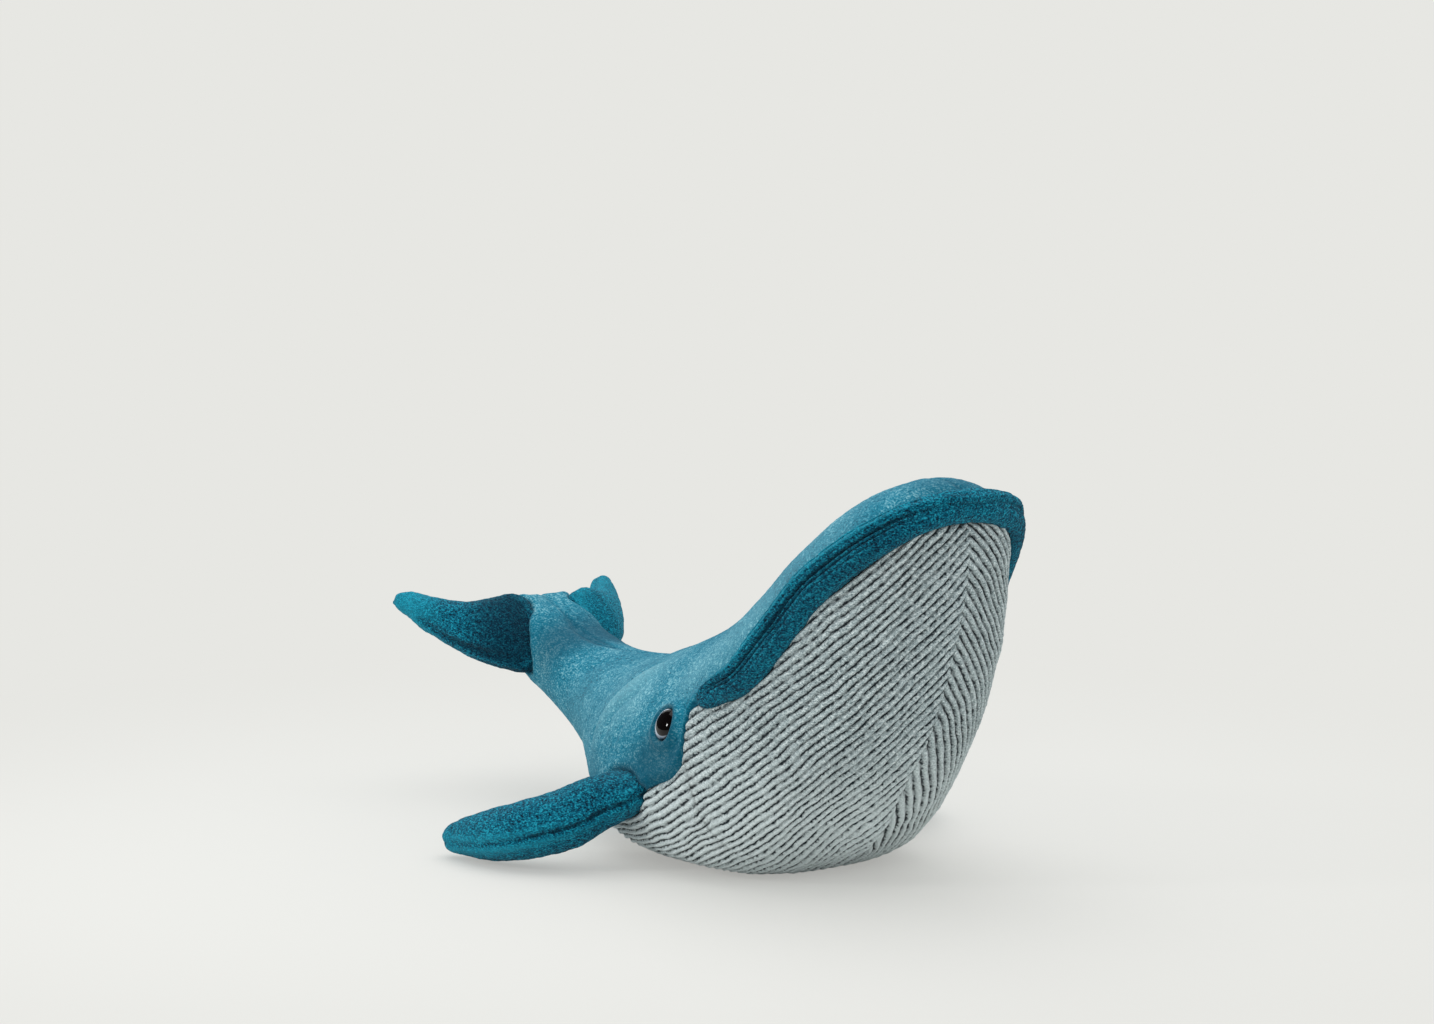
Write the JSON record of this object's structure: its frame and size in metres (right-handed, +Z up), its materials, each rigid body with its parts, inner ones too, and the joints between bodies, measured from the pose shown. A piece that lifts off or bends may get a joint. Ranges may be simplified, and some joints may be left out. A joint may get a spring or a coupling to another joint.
{
  "type": "plush whale",
  "caption": "Sitting plush whale with its head raised: blue pile back, ribbed belly, padded lip, bending tail, tail flukes and side flippers.",
  "frame": {"origin": "on the resting face, in the middle of the whale's width and length", "axes": "+Z up, -Y towards the nose, +Y towards the tail flukes, -X to the whale's right"},
  "size_m": [0.3336, 0.5028, 0.2372],
  "materials": {
    "blue_plush": "short soft pile, matte",
    "dark_plush": "short soft pile, matte",
    "ribbed_plush": "ribbed short pile, matte",
    "fibre_filling": "loose fibre, matte",
    "pellet_pouch": "woven pouch of plastic pellets, matte",
    "eye_plastic": "polished",
    "washer_plastic": "moulded, matte"
  },
  "bodies": {
    "body": {"back_cover_right": "blue_plush", "back_cover_left": "blue_plush", "belly_cover_right": "ribbed_plush", "belly_cover_left": "ribbed_plush", "eye_right": "eye_plastic", "eye_left": "eye_plastic", "eye_washer_right": "washer_plastic", "eye_washer_left": "washer_plastic", "lip_roll": "dark_plush", "head_stuffing": "fibre_filling", "torso_stuffing": "fibre_filling", "bean_pouch": "pellet_pouch"},
    "tail": {"tail_cover_right": "blue_plush", "tail_cover_left": "blue_plush", "tail_stuffing": "fibre_filling"},
    "flipper_right": {"flipper_top_cover_right": "dark_plush", "flipper_under_cover_right": "dark_plush", "flipper_stuffing_right": "fibre_filling"},
    "flipper_left": {"flipper_top_cover_left": "dark_plush", "flipper_under_cover_left": "dark_plush", "flipper_stuffing_left": "fibre_filling"},
    "fluke_right": {"fluke_top_cover_right": "dark_plush", "fluke_under_cover_right": "dark_plush", "fluke_stuffing_right": "fibre_filling"},
    "fluke_left": {"fluke_top_cover_left": "dark_plush", "fluke_under_cover_left": "dark_plush", "fluke_stuffing_left": "fibre_filling"}
  },
  "joints": [
    {"name": "tail_bend", "type": "hinge", "parent": "body", "child": "tail", "pos_m": [0, 0.07203, 0.06399], "axis": [1, 0, 0], "range_deg": [-20, 25], "stiffness_Nm_per_rad": 2, "springref_deg": 2.01},
    {"name": "flipper_flap_right", "type": "hinge", "parent": "body", "child": "flipper_right", "pos_m": [-0.10193, -0.04003, 0.0392], "axis": [0.0849, 0.9929, -0.0831], "range_deg": [-10, 50], "stiffness_Nm_per_rad": 0.3, "springref_deg": 0.69},
    {"name": "fluke_fold_right", "type": "hinge", "parent": "tail", "child": "fluke_right", "pos_m": [-0.02152, 0.17028, 0.10641], "axis": [0.2132, 0.4412, 0.8717], "range_deg": [-22, 22], "stiffness_Nm_per_rad": 0.3},
    {"name": "flipper_flap_left", "type": "hinge", "parent": "body", "child": "flipper_left", "pos_m": [0.10193, -0.04003, 0.0392], "axis": [0.0849, -0.9929, 0.0831], "range_deg": [-10, 50], "stiffness_Nm_per_rad": 0.3, "springref_deg": 0.69},
    {"name": "fluke_fold_left", "type": "hinge", "parent": "tail", "child": "fluke_left", "pos_m": [0.02152, 0.17028, 0.10641], "axis": [0.2132, -0.4412, -0.8717], "range_deg": [-22, 22], "stiffness_Nm_per_rad": 0.3}
  ]
}
